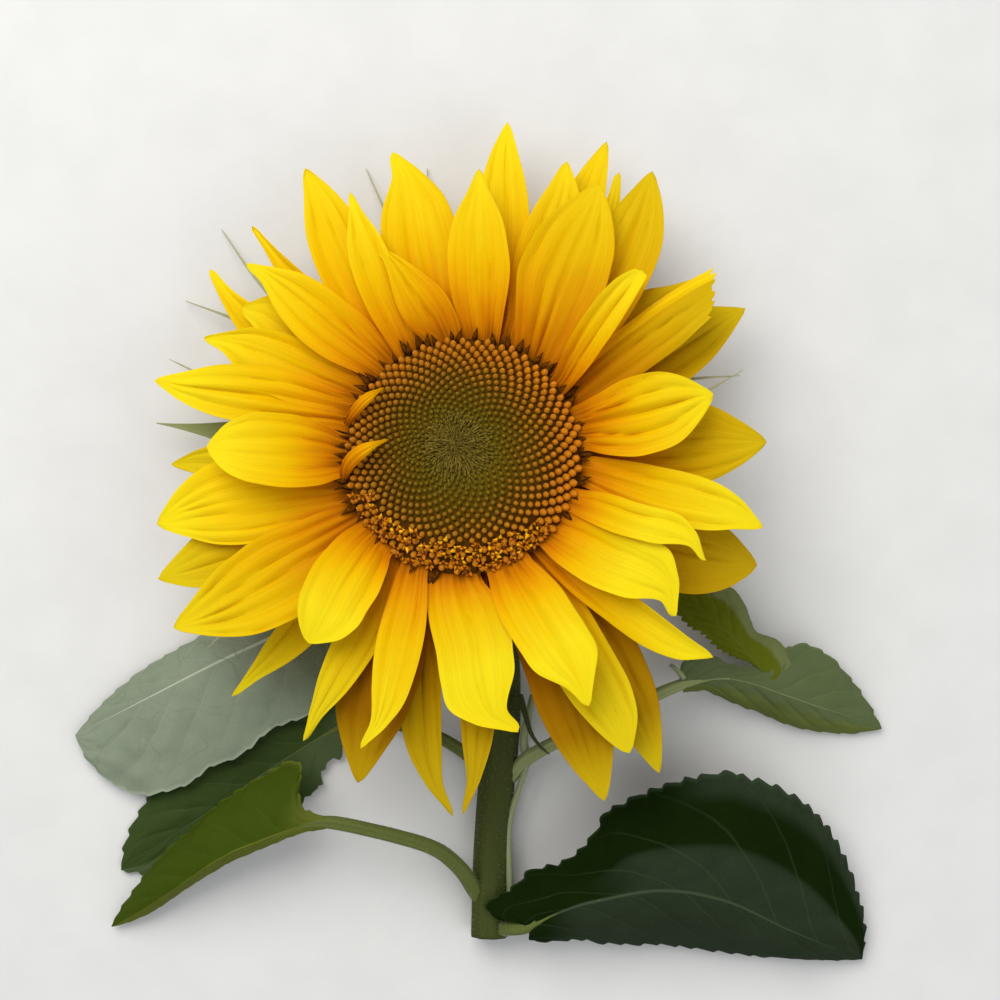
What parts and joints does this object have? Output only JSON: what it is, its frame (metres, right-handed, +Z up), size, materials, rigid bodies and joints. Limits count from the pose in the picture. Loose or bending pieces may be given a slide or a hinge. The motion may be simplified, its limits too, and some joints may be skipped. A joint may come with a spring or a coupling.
{
  "type": "cut sunflower",
  "caption": "Cut sunflower lying on its back: a domed disc of florets ringed by yellow ray petals, green bracts behind, a bent stem and toothed leaves on stalks.",
  "frame": {"origin": "on the floor under the middle of the flower's box", "axes": "+Z up, out of the face of the bloom; the stem runs from the bloom towards -Y; +X to the right of the bloom as seen from above with the stem towards the viewer"},
  "size_m": [0.3586, 0.3698, 0.09],
  "materials": {
    "petal": "soft satin ray petals, orange at the foot",
    "disc": "matte, rough with florets",
    "head_green": "matte, finely haired green",
    "stem": "matte, ribbed and bristly green",
    "leaf": "half-matte, rough green"
  },
  "bodies": {
    "root": {"disc": "disc", "head": "head_green", "inner_petal_1": "petal", "inner_petal_2": "petal", "petal_01": "petal", "petal_02": "petal", "petal_03": "petal", "petal_04": "petal", "petal_05": "petal", "petal_06": "petal", "petal_07": "petal", "petal_08": "petal", "petal_09": "petal", "petal_10": "petal", "petal_11": "petal", "petal_12": "petal", "petal_13": "petal", "petal_14": "petal", "petal_15": "petal", "petal_16": "petal", "petal_17": "petal", "petal_18": "petal", "petal_19": "petal", "petal_20": "petal", "petal_21": "petal", "petal_22": "petal", "petal_23": "petal", "petal_24": "petal", "petal_25": "petal", "petal_26": "petal", "petal_27": "petal", "petal_28": "petal", "petal_29": "petal", "petal_30": "petal", "petal_31": "petal", "petal_32": "petal", "petal_33": "petal", "petal_34": "petal", "petal_35": "petal", "petal_36": "petal", "petal_37": "petal", "petal_38": "petal", "petal_39": "petal", "petal_40": "petal", "petal_41": "petal", "petal_42": "petal", "petal_43": "petal", "petal_44": "petal", "petal_45": "petal", "stem": "stem", "leaf_lower_left": "leaf", "leaf_lower_right": "leaf", "leaf_middle_left": "leaf", "leaf_upper_left": "leaf", "leaf_upper_right": "leaf", "stalk_lower_left": "stem", "stalk_lower_right": "stem", "stalk_middle_left": "stem", "stalk_upper_left": "stem", "stalk_upper_right": "stem"}
  },
  "joints": []
}
